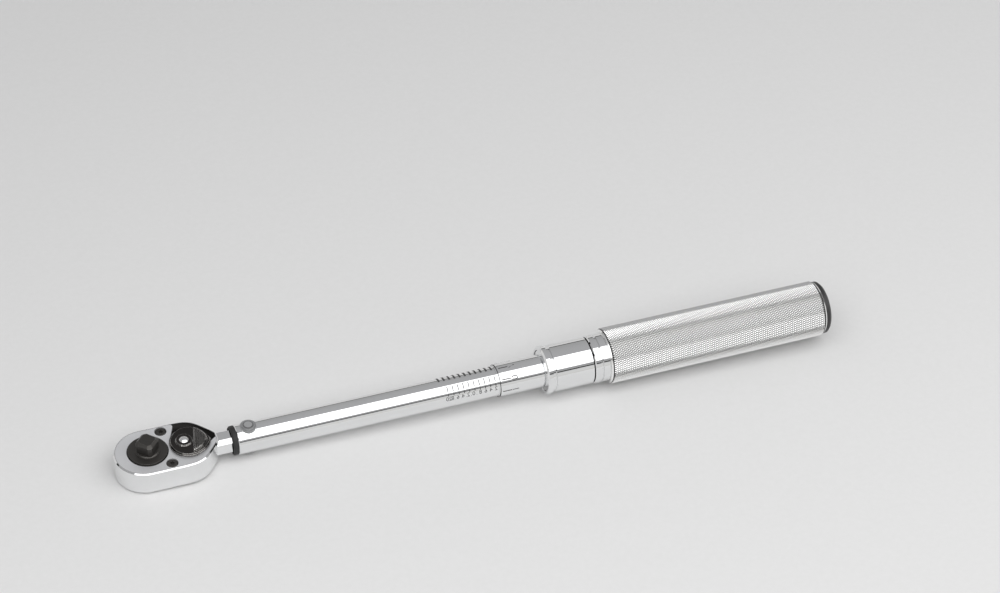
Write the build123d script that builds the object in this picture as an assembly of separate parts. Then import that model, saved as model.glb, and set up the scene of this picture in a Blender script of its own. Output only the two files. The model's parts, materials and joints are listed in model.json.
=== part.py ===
from build123d import *
import math
import os

# Click-type torque wrench, 3/8 in square drive, micrometer adjustment.
#
# Frame: millimetres, +Z out of the square drive, +X along the handle.  The origin is on the
# drive axis, in the plane where the tang leaves the round flange of the ratchet gear.
# Heights of the handle parts are counted from the handle axis, which lies AXIS_Z below it.

# ---- driving dimensions --------------------------------------------------------------
DRIVE_SQUARE = 9.525          # 3/8 in nominal square drive
TANG_LENGTH = 7.6
AXIS_Z = -6.9                 # height of the handle axis in the part's frame
FIT = 0.08                    # radial clearance of a running fit
FREE = 0.3                    # clearance between parts that only pass each other

# ratchet head, heights from the handle axis
HEAD_HALF = 16.0              # half width of the head
HEAD_FRONT_X = -1.5           # centre of the round front end
HEAD_FLANK_X = 13.0           # where the flanks start to close in
HEAD_TIP_X = 36.6
HEAD_TIP_HALF = 2.6
HEAD_TOP = 6.1
HEAD_BOTTOM = -8.0
HEAD_BEVEL = 0.6
RIM = 0.9                     # rim left round the cover plate
PLATE_THICK = 2.0
PLATE_GAP = 0.07
CAVITY_FLOOR = -6.0
FOOT_FILLET = 1.6             # round along the casing's lower edge
HEAD_FLANK_POINTS = ((27.0, 13.4, 60), (33.4, 6.9, 30))  # x, y and outward direction

# ratchet gear
TEETH = 36
GEAR_TIP_R = 11.6
GEAR_ROOT_R = 10.75
GEAR_BOTTOM = -5.7
GEAR_TOP = 3.8
FLANGE_R = 10.15
FLANGE_TOP = -AXIS_Z
BOSS_R = 7.0
BOSS_LENGTH = 0.8             # lower bearing of the gear, and of the lever shaft
COLLAR_R = 6.1                # step at the foot of the tang
COLLAR_HIGH = 0.9
TANG_CORNER_R = 5.8           # rounding of the tang's corners
DETENT_BALL_R = 1.3
DETENT_BALL_PROUD = 0.55
SEAL_R = 10.75

# reversing lever and pawl
PIVOT_X = 19.1                # distance of the lever pivot from the drive axis
LEVER_SWING = 28.0            # degrees from one detent to the other
LEVER_REST = -LEVER_SWING / 2  # at rest the lever is swung to the -Y side
POCKET_R = 7.7
SKIRT_R = 7.3
SHAFT_R = 3.0
PAWL_TILT = 4.0               # degrees either side of centre
PAWL_BOTTOM = -5.8
PAWL_TOP = 1.6
PAWL_HALF = 8.6
PAWL_BACK_X = 22.6
PAWL_R = 13.4
DETENT_TRACK_R = 6.2
LEVER_TIP = 13.7              # from the pivot to the lever's tip
LEVER_BACK = 7.6              # and to its round end
LEVER_SIDE = ((12.0, 4.4), (8.4, 8.2), (3.8, 10.1), (-0.6, 9.8), (-4.2, 7.6), (-6.8, 3.8))
DOME_R = 2.3                  # head of the lever's shaft
LEVER_HUB_R = 4.3
TAB_START = 5.0              # from the pivot to the foot of the thumb tab
TAB_RISE = 1.6                # ribbed thumb tab above the deck
RIB_COUNT = 5
RIB_PITCH = 1.25
LEVER_BALL_R = 1.0
POCKET_X = 6.0                # front of the pawl pocket
PAWL_PLUNGER_R = 1.05
PAWL_PLUNGER_HIGH = -2.0      # height of the pawl plunger's bore
SHAFT_FOOT_R = SHAFT_R - 0.5

# cover screws
SCREW_X = 9.8
SCREW_Y = 11.7
SCREW_HEAD_R = 2.95
SCREW_R = 1.6
SCREW_SINK = 1.5              # depth of the screw heads' seats below the plate's face
SCREW_SOCKET_R = 1.35

# neck and tail of the head
NECK_HALF = 4.8
NECK_HIGH = 5.2
NECK_CHAMFER = 2.0
NECK_END_X = 60.0
TAIL_HALF = 3.2
TAIL_HIGH = 3.9
TAIL_END_X = 88.3

# tube
TUBE_R = 7.95                 # 5/8 in tube
TUBE_BORE_R = 6.65
TUBE_X = 46.0
TUBE_END_X = 262.0
TUBE_WAIST_X = 203.0
TUBE_WAIST_R = 7.45
SEAL_X = 43.5

# pivot pin of the head
PIN_X = 53.0
PIN_R = 3.0
PIN_HEAD_R = 4.3
PIN_TOP = 9.3
PIN_SEAT = 6.3                # underside of the pin's head
PIN_STEP_R = 3.2
PIN_TIP_R = 2.2

# click mechanism and load spring
BLOCK_X = 93.5                # rocking axis of the click block
BLOCK_LENGTH = 5.0
BLOCK_HALF = 3.0
BLOCK_WEB_HALF = 2.6          # the block's sides are slimmer than its round ends
BLOCK_HIGH = 7.0
PLUNGER_END_X = 108.0
PLUNGER_R = TUBE_BORE_R - FIT
SPRING_R = 4.9
SPRING_WIRE_R = 1.2
SPRING_TURNS = 20
SEAT_X = 226.5
SEAT_THICK = 4.0
BALL_R = 3.0
BALL_X = 232.4

# adjuster
LEAD = 2.9                    # travel for one turn, equal to one main graduation
NUT_X = 244.0
SCREW_TIP_X = 234.4
LOAD_SCREW_R = 4.95
SCREW_NECK_R = 4.0
PLUG_X = 350.0
PLUG_THICK = 12.0

# handle
SLEEVE_X = 187.0
SLEEVE_R = 8.75
SLEEVE_END_X = 262.0
SLEEVE_BORE_R = TUBE_R + FIT
GRIP_X = 248.0
GRIP_END_X = 372.0
GRIP_R = 15.05
GRIP_BORE_R = 12.0
GRIP_BEVEL = 0.9
BAND_X = 239.5
BAND_R = 13.15
BAND_GROOVE_X = 243.3         # groove between the collar's two bands
BAND_GROOVE_DEPTH = 0.7
HUB_X = 231.0
HUB_R = 9.85
SPIGOT_END_X = 266.0
CAP_R = 14.2
CAP_THICK = 3.0
CAP_BORE_R = 10.2
CAP_SKIRT = 8.0               # how far the cap's skirt reaches into the grip
WASHER_R = 7.5
WASHER_THICK = 1.2
END_NUT_R = 7.2               # across the corners, halved
END_NUT_THICK = 4.8

# lock ring
LOCK_X = 213.0
LOCK_END_X = 239.2
LOCK_R = 12.7
LOCK_FLANGE_R = 13.1
LOCK_BORE_R = SLEEVE_R + FIT
LOCK_COUNTERBORE_R = 11.0
LOCK_SHOULDER_X = 228.0
LOCK_BALL_X = 234.0
LOCK_BALL_R = 1.17
LOCK_BALL_COUNT = 3
LOCK_RAMP_X = 230.5           # front of the bore that holds the balls in
LOCK_REAR_X = 236.0           # end of that bore
LOCK_SPRING_R = 9.9
LOCK_SPRING_WIRE_R = 0.55
RETAINER_X = 213.4
RETAINER_THICK = 1.2

TUBE_AXIS = Axis((0, 0, AXIS_Z), (1, 0, 0))


# ---- helpers -------------------------------------------------------------------------
def turned(outline):
    """Solid turned about the handle axis from (x, radius) corners."""
    corners = [(x, 0, AXIS_Z + r) for x, r in outline]
    return revolve(make_face(Polyline(*corners, close=True)), TUBE_AXIS)


def tube_piece(x0, x1, outer, inner, bevel=0.0):
    """Plain ring or tube about the handle axis, its outer edges bevelled."""
    outline = [(x0, inner), (x0, outer - bevel), (x0 + bevel, outer),
               (x1 - bevel, outer), (x1, outer - bevel), (x1, inner)]
    if bevel == 0:
        outline = [(x0, inner), (x0, outer), (x1, outer), (x1, inner)]
    return turned(outline)


def upright(x, y, radius, low, high):
    """Cylinder along Z between two heights counted from the handle axis."""
    start = Location((x, y, AXIS_Z + low))
    return start * Cylinder(radius, high - low, align=(Align.CENTER, Align.CENTER, Align.MIN))


def slab(face, low, high):
    """Flat outline raised between two heights counted from the handle axis."""
    return Location((0, 0, AXIS_Z + low)) * extrude(face, high - low, dir=(0, 0, 1))


def bar(x0, x1, half_y, half_z, bevel):
    """Bar along the handle axis with its four long edges bevelled."""
    centre = Location(((x0 + x1) / 2, 0, AXIS_Z))
    solid = centre * Box(x1 - x0, 2 * half_y, 2 * half_z)
    return chamfer(solid.edges().filter_by(Axis.X), bevel)


def about_pivot(shape, degrees):
    """Turn a shape about the upright axis of the lever pivot."""
    return shape.rotate(Axis((PIVOT_X, 0, 0), (0, 0, 1)), degrees)


def coil(length, mean_radius, wire_radius, turns):
    """Helical spring standing on the XY plane, wire centre from 0 to length."""
    path = Helix(length / turns, length, mean_radius)
    section = Plane(path @ 0, z_dir=path % 0) * Circle(wire_radius)
    return sweep(section, path=path)


def coil_along_x(x0, x1, mean_radius, wire_radius, turns):
    """Helical spring about the handle axis that fills the space from x0 to x1."""
    spring = coil(x1 - x0 - 2 * wire_radius, mean_radius, wire_radius, turns)
    return Location((x0 + wire_radius, 0, AXIS_Z), (0, 90, 0)) * spring


def save(node, shape):
    """Write one sub-part under its node name."""
    export_step(shape, f"parts/{node}.step")
    print(f"{node:22s} {shape.volume:10.1f} mm3")


# ---- ratchet head --------------------------------------------------------------------
def inwards(x, y, degrees, inset):
    """Point of the flank moved in against its outward direction."""
    turn = math.radians(degrees)
    return (x - inset * math.cos(turn), y - inset * math.sin(turn))


def head_flank(side, inset):
    """One flank closing in from the straight side to the neck."""
    places = [(HEAD_FLANK_X, HEAD_HALF, 90), *HEAD_FLANK_POINTS, (HEAD_TIP_X, HEAD_TIP_HALF, 0)]
    corners = [inwards(x, y, degrees, inset) for x, y, degrees in places]
    return Spline(*[(x, side * y) for x, y in corners], tangents=((1, 0), (0.6, -side)))


def head_outline(inset=0.0):
    """Teardrop seen from above: round front, straight flanks, closing to the neck."""
    half = HEAD_HALF - inset
    tip_x = HEAD_TIP_X - inset
    edges = [
        ThreePointArc((HEAD_FRONT_X, half), (HEAD_FRONT_X - half, 0), (HEAD_FRONT_X, -half)),
        Line((HEAD_FRONT_X, -half), (HEAD_FLANK_X, -half)),
        head_flank(-1, inset),
        Line((tip_x, -HEAD_TIP_HALF), (tip_x, HEAD_TIP_HALF)),
        head_flank(1, inset),
        Line((HEAD_FLANK_X, half), (HEAD_FRONT_X, half)),
    ]
    return make_face(edges)


def lever_pocket_outline():
    """Opening of the cover plate round the lever, closed on the -Y side only."""
    horn_top = (15.3, 14.9)
    horn_side = (16.5, 13.3)
    far_end = (12.4, 3.8)
    near_end = (12.6, -4.1)
    beyond_tip = 38.0
    outside = 18.0
    edges = [
        Line((horn_top[0], outside), horn_top),
        ThreePointArc(horn_top, (16.3, 14.4), horn_side),
        Line(horn_side, far_end),
        ThreePointArc(far_end, (PIVOT_X - POCKET_R, 0), near_end),
        Spline(near_end, (15.6, -8.1), (19.3, -10.5), (23.2, -10.6), (27.8, -7.6),
               (beyond_tip, 0.4)),
        Line((beyond_tip, 0.4), (beyond_tip, outside)),
        Line((beyond_tip, outside), (horn_top[0], outside)),
    ]
    return make_face(edges)


def head_casing():
    """Forged casing with gear bore, pawl pocket, plate recess, neck and tail in one piece."""
    outline = head_outline()
    casing = slab(outline, HEAD_BOTTOM, HEAD_TOP)
    casing = chamfer(casing.edges().group_by(Axis.Z)[-1], HEAD_BEVEL)
    casing = fillet(casing.edges().group_by(Axis.Z)[0], FOOT_FILLET)
    casing += bar(HEAD_TIP_X - 8, NECK_END_X, NECK_HALF, NECK_HIGH, NECK_CHAMFER)
    casing += bar(NECK_END_X - 1, TAIL_END_X, TAIL_HALF, TAIL_HIGH, 1.0)
    recess = head_outline(RIM)
    ledge = HEAD_TOP - PLATE_THICK
    casing -= slab(recess, ledge, HEAD_TOP + 1)
    casing -= upright(0, 0, GEAR_TIP_R + FREE, CAVITY_FLOOR, ledge + 1)
    casing -= upright(0, 0, BOSS_R + FIT, CAVITY_FLOOR - 1, CAVITY_FLOOR + 1)
    pocket_length = PAWL_BACK_X + 1.0 - POCKET_X
    pocket = Location((POCKET_X + pocket_length / 2, 0)) * Rectangle(pocket_length, 2 * (PAWL_HALF + 1.0))
    pocket = fillet(pocket.vertices(), 2.5)
    casing -= slab(pocket, CAVITY_FLOOR, PAWL_TOP + 0.2)
    casing -= upright(PIVOT_X, 0, SHAFT_R + FIT, PAWL_TOP - 1, ledge + 1)
    casing -= upright(PIVOT_X, 0, SHAFT_FOOT_R + FIT, CAVITY_FLOOR - 1, CAVITY_FLOOR + 1)
    casing -= upright(PIVOT_X + DETENT_TRACK_R, 0, LEVER_BALL_R + 0.05, -2.0, ledge + 1)
    for side in (-1, 1):
        casing -= upright(SCREW_X, side * SCREW_Y, SCREW_R, -3.2, ledge + 1)
    casing -= upright(PIN_X, 0, PIN_R + FIT, -NECK_HIGH - 1, NECK_HIGH + 1)
    return casing


def cover_plate():
    """C-shaped satin plate that holds the gear down; its far arm stops short in a horn."""
    outline = head_outline(RIM + PLATE_GAP) - lever_pocket_outline()
    outline = max(outline.faces(), key=lambda face: face.area)
    plate = slab(outline, HEAD_TOP - PLATE_THICK, HEAD_TOP)
    plate -= upright(0, 0, SEAL_R, 0, HEAD_TOP + 1)
    for side in (-1, 1):
        plate -= upright(SCREW_X, side * SCREW_Y, SCREW_R + FREE, 0, HEAD_TOP + 1)
        plate -= upright(SCREW_X, side * SCREW_Y, SCREW_HEAD_R + 0.2, HEAD_TOP - SCREW_SINK, HEAD_TOP + 1)
    return plate


def cover_screws():
    """Two socket screws, heads sunk in the plate."""
    seat = HEAD_TOP - SCREW_SINK
    top = HEAD_TOP - 0.15
    screws = []
    for side in (-1, 1):
        screw = upright(SCREW_X, side * SCREW_Y, SCREW_HEAD_R, seat, top)
        screw = chamfer(screw.edges().group_by(Axis.Z)[-1], 0.45)
        screw += upright(SCREW_X, side * SCREW_Y, SCREW_R, -3.0, seat)
        socket = Location((SCREW_X, side * SCREW_Y)) * RegularPolygon(SCREW_SOCKET_R, 6)
        screw -= slab(socket, top - 1.0, top + 1)
        screws.append(screw)
    return Compound(children=screws)


def gear_seal():
    """Rubber ring in the plate, round the gear flange."""
    low = HEAD_TOP - PLATE_THICK + 0.3
    return upright(0, 0, SEAL_R, low, HEAD_TOP - 0.1) - upright(0, 0, FLANGE_R + 0.1, 0, HEAD_TOP + 1)


def lever_detent_ball():
    """Ball that snaps into the two ends of the lever's track."""
    return Location((PIVOT_X + DETENT_TRACK_R, 0, AXIS_Z + 3.7)) * Sphere(LEVER_BALL_R)


def lever_detent_spring():
    """Small spring that lifts the lever's detent ball."""
    low = -1.9
    wire = 0.16
    spring = coil(4.4, 0.75, wire, 7)
    return Location((PIVOT_X + DETENT_TRACK_R, 0, AXIS_Z + low + wire)) * spring


# ---- ratchet gear and its detent -----------------------------------------------------
def gear_profile(root, tip, tip_half_degrees):
    """Closed outline of the V-toothed ratchet gear, a tooth centred on +X."""
    step = 360 / TEETH
    corners = []
    for tooth in range(TEETH):
        centre = tooth * step
        for radius, angle in ((tip, centre - tip_half_degrees), (tip, centre + tip_half_degrees),
                              (root, centre + step / 2)):
            turn = math.radians(angle)
            corners.append((radius * math.cos(turn), radius * math.sin(turn)))
    return make_face(Polyline(*corners, close=True))


def ball_direction():
    """Unit direction, in the XY plane, of the tang face that carries the detent ball."""
    return Vector(1, 1, 0).normalized()


def drive_gear():
    """Gear, bearing flange and square tang in one black piece; tang corners point along X."""
    gear = slab(gear_profile(GEAR_ROOT_R, GEAR_TIP_R, 0.6), GEAR_BOTTOM, GEAR_TOP)
    gear += upright(0, 0, BOSS_R, CAVITY_FLOOR - BOSS_LENGTH, GEAR_BOTTOM)
    gear += upright(0, 0, FLANGE_R, GEAR_TOP, FLANGE_TOP)
    tang = Box(DRIVE_SQUARE, DRIVE_SQUARE, TANG_LENGTH, align=(Align.CENTER, Align.CENTER, Align.MIN))
    tang = Rotation(0, 0, 45) * chamfer(tang.edges().group_by(Axis.Z)[-1], 1.2)
    corners = Cylinder(TANG_CORNER_R, TANG_LENGTH, align=(Align.CENTER, Align.CENTER, Align.MIN))
    tang = tang & chamfer(corners.edges().group_by(Axis.Z)[-1], 1.5)
    collar = Cylinder(COLLAR_R, COLLAR_HIGH, align=(Align.CENTER, Align.CENTER, Align.MIN))
    collar = chamfer(collar.edges().group_by(Axis.Z)[-1], 0.5)
    gear = gear + collar + tang
    direction = ball_direction()
    hole = Plane(direction * 0.5 + Vector(0, 0, TANG_LENGTH / 2), z_dir=direction)
    gear -= hole * Cylinder(DETENT_BALL_R + 0.05, 6.0, align=(Align.CENTER, Align.CENTER, Align.MIN))
    return gear


def detent_ball():
    """Sprung ball that holds a socket on the tang."""
    distance = DRIVE_SQUARE / 2 + DETENT_BALL_PROUD - DETENT_BALL_R
    return Location(ball_direction() * distance + Vector(0, 0, TANG_LENGTH / 2)) * Sphere(DETENT_BALL_R)


def detent_spring():
    """Spring behind the socket detent ball."""
    wire = 0.15
    spring = coil(1.7, 1.0, wire, 4)
    start = ball_direction() * (0.55 + wire) + Vector(0, 0, TANG_LENGTH / 2)
    return Plane(start, z_dir=ball_direction()).location * spring


# ---- reversing lever and pawl --------------------------------------------------------
def lever_outline(scale=1.0):
    """Broad thumb-lever outline about its pivot, widest beside the pivot, tip along +X."""
    near = [(x, -y) for x, y in LEVER_SIDE]
    far = [(x, y) for x, y in reversed(LEVER_SIDE)]
    corners = [(LEVER_TIP, 0), *near, (-LEVER_BACK, 0), *far]
    return make_face(Spline(*[(PIVOT_X + scale * x, scale * y) for x, y in corners], periodic=True))


def reversing_lever():
    """Teardrop lever with a round skirt in the pocket and a ribbed thumb tab."""
    skirt_low = HEAD_TOP - PLATE_THICK + 0.2
    deck_low = HEAD_TOP + 0.25
    deck_top = HEAD_TOP + 2.0
    lever = slab(lever_outline(), deck_low, deck_top)
    lever = chamfer(lever.edges().group_by(Axis.Z)[-1], 0.7)
    lever += upright(PIVOT_X, 0, SKIRT_R, skirt_low, deck_low)
    hub = upright(PIVOT_X, 0, LEVER_HUB_R, deck_top, deck_top + 0.7)
    lever += chamfer(hub.edges().group_by(Axis.Z)[-1], 0.3)
    tab_top = deck_top + TAB_RISE
    front_half = Location((PIVOT_X + TAB_START + 10, 0)) * Rectangle(20, 30)
    tab_face = max((lever_outline(0.86) & front_half).faces(), key=lambda face: face.area)
    tab = slab(tab_face, deck_top - 0.2, tab_top)
    tab = chamfer(tab.edges().group_by(Axis.Z)[-1], 0.5)
    for rib in range(RIB_COUNT):
        groove = Location((PIVOT_X + TAB_START + 1.2 + rib * RIB_PITCH, 0, AXIS_Z + tab_top), (0, 45, 0))
        tab -= groove * Box(0.5, 30, 0.5)
    lever += tab
    lever -= upright(PIVOT_X, 0, SHAFT_R, skirt_low - 1, deck_low)
    lever -= upright(PIVOT_X, 0, DOME_R, deck_low, deck_top + 2)
    track = Location((PIVOT_X, 0)) * (Circle(DETENT_TRACK_R + 0.95) - Circle(DETENT_TRACK_R - 0.95))
    wedge = Polyline((PIVOT_X, 0), (PIVOT_X + 12, 6.8), (PIVOT_X + 12, -6.8), close=True)
    lever -= slab(track.face() & make_face(wedge), skirt_low - 1, skirt_low + 0.6)
    return about_pivot(lever, LEVER_REST)


def lever_shaft():
    """Chrome pivot with a domed head; it carries the lever through the roof to the pawl."""
    deck_low = HEAD_TOP + 0.25
    head_low = HEAD_TOP + 2.7
    shaft = upright(PIVOT_X, 0, SHAFT_R, CAVITY_FLOOR + 0.1, deck_low)
    shaft += upright(PIVOT_X, 0, DOME_R, deck_low, head_low)
    shaft += upright(PIVOT_X, 0, SHAFT_FOOT_R, CAVITY_FLOOR - BOSS_LENGTH, CAVITY_FLOOR + 0.1)
    dome_r = 3.2
    dome = Location((PIVOT_X, 0, AXIS_Z + head_low - math.sqrt(dome_r**2 - DOME_R**2))) * Sphere(dome_r)
    shaft += dome & upright(PIVOT_X, 0, DOME_R, head_low - 0.1, head_low + 4)
    hole = Plane((PIVOT_X + 1.6, 0, AXIS_Z + PAWL_PLUNGER_HIGH), z_dir=(-1, 0, 0))
    shaft -= hole * Cylinder(PAWL_PLUNGER_R + 0.05, 8, align=(Align.CENTER, Align.CENTER, Align.MIN))
    return about_pivot(shaft, LEVER_REST)


def pawl_plunger():
    """Round-nosed plunger in the shaft that presses the pawl over."""
    height = AXIS_Z + PAWL_PLUNGER_HIGH
    start = Plane((PIVOT_X - 0.9, 0, height), z_dir=(-1, 0, 0))
    plunger = start * Cylinder(PAWL_PLUNGER_R, 2.4, align=(Align.CENTER, Align.CENTER, Align.MIN))
    plunger += Location((PIVOT_X - 3.3, 0, height)) * Sphere(PAWL_PLUNGER_R)
    return about_pivot(plunger, LEVER_REST)


def pawl_spring():
    """Spring behind the pawl plunger."""
    wire = 0.15
    spring = coil(1.9, 0.8, wire, 4)
    start = Plane((PIVOT_X + 1.45 - wire, 0, AXIS_Z + PAWL_PLUNGER_HIGH), z_dir=(-1, 0, 0))
    return about_pivot(start.location * spring, LEVER_REST)


def ratchet_pawl():
    """Rocking pawl with teeth on both ends, one end in mesh at rest."""
    blank = Location((PIVOT_X, 0)) * Circle(PAWL_R)
    frame_length = PAWL_BACK_X - 5.0
    blank = blank & (Location((5.0 + frame_length / 2, 0)) * Rectangle(frame_length, 2 * PAWL_HALF))
    blank -= Circle(12.35) & Rectangle(40, 9.8)
    cutter = gear_profile(GEAR_ROOT_R + 0.09, GEAR_TIP_R + 0.12, 0.9)
    pivot = Axis((PIVOT_X, 0, 0), (0, 0, 1))
    for tilt in (-1.0, -0.5, 0.0, 0.5, 1.0):
        blank -= cutter.rotate(pivot, tilt * PAWL_TILT)
    body = max(blank.faces(), key=lambda face: face.area)
    pawl = slab(body, PAWL_BOTTOM, PAWL_TOP)
    pawl -= upright(PIVOT_X, 0, SHAFT_R + FIT, PAWL_BOTTOM - 1, PAWL_TOP + 1)
    window = Location((PIVOT_X, 0)) * Circle(4.75)
    wedge = Polyline((PIVOT_X, 0), (PIVOT_X - 6, 6), (PIVOT_X - 6, -6), close=True)
    pawl -= slab(window.face() & make_face(wedge), -3.6, PAWL_TOP + 1)
    return about_pivot(pawl, -PAWL_TILT)


# ---- tube and what is fixed in it ----------------------------------------------------
def tube():
    """Main tube; its rear is turned down under the sleeve, where the lock balls run."""
    outline = [(TUBE_X, TUBE_BORE_R), (TUBE_X, TUBE_R - 0.5), (TUBE_X + 0.5, TUBE_R),
               (TUBE_WAIST_X, TUBE_R), (TUBE_WAIST_X + 0.5, TUBE_WAIST_R),
               (TUBE_END_X - 0.4, TUBE_WAIST_R), (TUBE_END_X, TUBE_WAIST_R - 0.4),
               (TUBE_END_X, TUBE_BORE_R)]
    body = turned(outline)
    body -= upright(PIN_X, 0, PIN_HEAD_R, 0, TUBE_R + 1)
    body -= upright(PIN_X, 0, PIN_R, -TUBE_R - 1, 0)
    for pin in nut_pin_cylinders():
        body -= pin
    return body


def front_seal():
    """Black rubber ring in the mouth of the tube."""
    return turned([(SEAL_X, 6.4), (SEAL_X, 7.1), (SEAL_X + 0.6, 7.6), (TUBE_X, 7.7), (TUBE_X, 6.4)])


def pivot_pin():
    """Pin of the head: stepped head in the top wall, spread end in the bottom wall."""
    pin = upright(PIN_X, 0, PIN_R, -TUBE_R - 0.2, PIN_SEAT)
    pin += upright(PIN_X, 0, PIN_HEAD_R, PIN_SEAT, PIN_SEAT + 2.0)
    pin += upright(PIN_X, 0, PIN_STEP_R, PIN_SEAT + 2.0, PIN_TOP - 0.3)
    pin += upright(PIN_X, 0, PIN_TIP_R, PIN_TOP - 0.3, PIN_TOP)
    spread = upright(PIN_X, 0, 3.8, -TUBE_R - 0.6, -TUBE_R + 0.1)
    pin += spread - turned([(PIN_X - 6, 0), (PIN_X - 6, TUBE_R), (PIN_X + 6, TUBE_R), (PIN_X + 6, 0)])
    return pin


def nut_pin_cylinders():
    """The two cross pins that key the thread nut in the tube."""
    pins = []
    for side in (-1, 1):
        start = Plane((NUT_X + 9, side * 5.6, AXIS_Z), z_dir=(0, side, 0))
        pins.append(start * Cylinder(1.5, 1.7, align=(Align.CENTER, Align.CENTER, Align.MIN)))
    return pins


def nut_pins():
    """Cross pins of the thread nut."""
    return Compound(children=nut_pin_cylinders())


def thread_nut():
    """Nut for the load screw, fixed in the rear of the tube."""
    nut = tube_piece(NUT_X, TUBE_END_X, TUBE_BORE_R, LOAD_SCREW_R + FIT)
    for pin in nut_pin_cylinders():
        nut -= pin
    return nut


# ---- click mechanism -----------------------------------------------------------------
def click_block():
    """Rocking block between the tail of the head and the plunger, round at both ends."""
    block = Location((BLOCK_X - BLOCK_LENGTH / 2, 0, AXIS_Z)) * Box(BLOCK_LENGTH, 2 * BLOCK_WEB_HALF, BLOCK_HIGH)
    block = block & upright(BLOCK_X, 0, BLOCK_LENGTH, -BLOCK_HIGH, BLOCK_HIGH)
    return block + upright(BLOCK_X, 0, BLOCK_HALF, -BLOCK_HIGH / 2, BLOCK_HIGH / 2)


def spring_plunger():
    """Plunger between spring and block, with a round seat for the block."""
    plunger = tube_piece(BLOCK_X, PLUNGER_END_X, PLUNGER_R, 0, 0.6)
    plunger -= upright(BLOCK_X, 0, BLOCK_HALF + FIT, -8, 8)
    plunger -= tube_piece(PLUNGER_END_X - 6, PLUNGER_END_X + 1, 3.0, 0)
    return plunger


def main_spring():
    """Load spring."""
    return coil_along_x(PLUNGER_END_X + 0.05, SEAT_X - 0.05, SPRING_R, SPRING_WIRE_R, SPRING_TURNS)


def spring_seat():
    """Washer behind the spring, dished for the thrust ball."""
    seat = tube_piece(SEAT_X, SEAT_X + SEAT_THICK, TUBE_BORE_R - FREE, 0, 0.4)
    return seat - Location((BALL_X, 0, AXIS_Z)) * Sphere(BALL_R + 0.05)


def thrust_ball():
    """Steel ball between the turning screw and the spring seat."""
    return Location((BALL_X, 0, AXIS_Z)) * Sphere(BALL_R)


# ---- handle --------------------------------------------------------------------------
def load_screw():
    """Adjusting screw from the thrust ball to the end plug."""
    neck_x = PLUG_X + PLUG_THICK + 7.0
    return turned([(SCREW_TIP_X + 1.3, 0), (SCREW_TIP_X, 3.6), (SCREW_TIP_X, LOAD_SCREW_R - 0.6),
                   (SCREW_TIP_X + 0.6, LOAD_SCREW_R), (PLUG_X, LOAD_SCREW_R), (PLUG_X, SCREW_NECK_R),
                   (neck_x - 0.6, SCREW_NECK_R), (neck_x, SCREW_NECK_R - 0.6), (neck_x, 0)])


def sleeve():
    """Graduated sleeve that slides over the tube, with a bevelled front edge."""
    body = turned([(SLEEVE_X, SLEEVE_BORE_R), (SLEEVE_X, SLEEVE_BORE_R + 0.12), (SLEEVE_X + 2.4, SLEEVE_R),
                   (SLEEVE_END_X, SLEEVE_R), (SLEEVE_END_X, SLEEVE_BORE_R)])
    body -= tube_piece(RETAINER_X, RETAINER_X + RETAINER_THICK, SLEEVE_R + 1, SLEEVE_R - 0.3)
    for hole in lock_ball_holes():
        body -= hole
    return body


def lock_ball_places():
    """Centres of the lock balls, spread round the sleeve."""
    reach = HUB_R - LOCK_BALL_R
    places = []
    for ball in range(LOCK_BALL_COUNT):
        turn = math.radians(90 + ball * 360 / LOCK_BALL_COUNT)
        places.append(Vector(LOCK_BALL_X, reach * math.cos(turn), AXIS_Z + reach * math.sin(turn)))
    return places


def lock_ball_holes():
    """Radial holes of the lock balls."""
    holes = []
    for place in lock_ball_places():
        outward = (place - Vector(LOCK_BALL_X, 0, AXIS_Z)).normalized()
        holes.append(Plane(place, z_dir=outward) * Cylinder(LOCK_BALL_R + 0.03, 8))
    return holes


def lock_balls():
    """Balls that lock the sleeve to the tube."""
    return Compound(children=[Location(place) * Sphere(LOCK_BALL_R) for place in lock_ball_places()])


def grip_collar():
    """Collar that joins sleeve and grip; two bands show between the lock ring and the grip."""
    floor_r = BAND_R - BAND_GROOVE_DEPTH
    outline = [(HUB_X, SLEEVE_R), (HUB_X, HUB_R), (BAND_X, HUB_R), (BAND_X, BAND_R - 0.5),
               (BAND_X + 0.5, BAND_R), (BAND_GROOVE_X - 0.4, BAND_R), (BAND_GROOVE_X, floor_r),
               (BAND_GROOVE_X + 0.5, floor_r), (BAND_GROOVE_X + 0.9, BAND_R), (GRIP_X - 0.4, BAND_R),
               (GRIP_X, BAND_R - 0.4), (GRIP_X, GRIP_BORE_R), (SPIGOT_END_X, GRIP_BORE_R),
               (SPIGOT_END_X, SLEEVE_R + 1.2), (SLEEVE_END_X, SLEEVE_R)]
    collar = turned(outline)
    for hole in lock_ball_holes():
        collar -= hole
    return collar


def grip():
    """Tubular grip, knurled along its whole length."""
    return turned([(GRIP_X, GRIP_BORE_R), (GRIP_X, GRIP_R - GRIP_BEVEL), (GRIP_X + GRIP_BEVEL, GRIP_R),
                   (GRIP_END_X - GRIP_BEVEL, GRIP_R), (GRIP_END_X, GRIP_R - GRIP_BEVEL),
                   (GRIP_END_X, GRIP_BORE_R)])


def end_plug():
    """Steel plug that carries the load screw in the rear of the grip."""
    return tube_piece(PLUG_X, PLUG_X + PLUG_THICK, GRIP_BORE_R, SCREW_NECK_R, 0.5)


def end_washer():
    """Washer under the end nut."""
    start = PLUG_X + PLUG_THICK
    return tube_piece(start, start + WASHER_THICK, WASHER_R, SCREW_NECK_R + 0.2)


def end_nut():
    """Hexagon nut on the load screw."""
    start = PLUG_X + PLUG_THICK + WASHER_THICK
    outline = Plane((start, 0, AXIS_Z), x_dir=(0, 1, 0), z_dir=(1, 0, 0)) * RegularPolygon(END_NUT_R, 6)
    nut = extrude(outline, END_NUT_THICK, dir=(1, 0, 0))
    return nut - tube_piece(start - 1, start + 8, SCREW_NECK_R, 0)


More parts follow.
